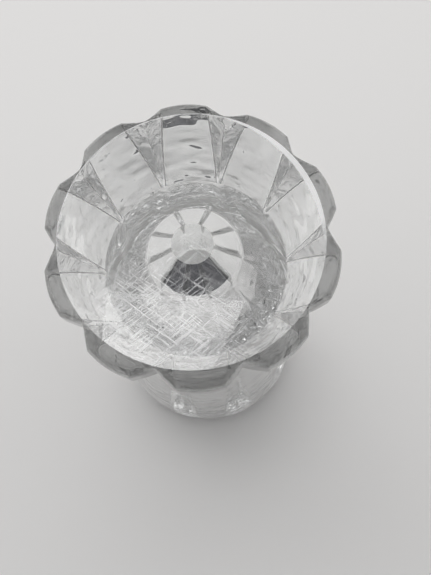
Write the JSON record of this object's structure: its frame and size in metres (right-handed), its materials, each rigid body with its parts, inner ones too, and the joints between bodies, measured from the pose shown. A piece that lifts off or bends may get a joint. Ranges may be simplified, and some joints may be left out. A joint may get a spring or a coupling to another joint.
{
  "type": "mixing glass",
  "caption": "Clear bar mixing glass with a heavy lobed foot and a fluted bowl, modelled upside down on its mouth with the flat scratched underside up.",
  "frame": {"origin": "centre of the plane that the lip rests on, the glass standing upside down", "axes": "+Z along the glass's axis, from the mouth to the foot's underside; a lobe of the foot faces -Y"},
  "size_m": [0.086, 0.086, 0.165],
  "materials": {
    "bowl_glass": "polished clear",
    "foot_glass": "polished clear, underside scratched by wear"
  },
  "bodies": {
    "root": {"bowl": "bowl_glass", "pressed_foot": "foot_glass"}
  },
  "joints": []
}
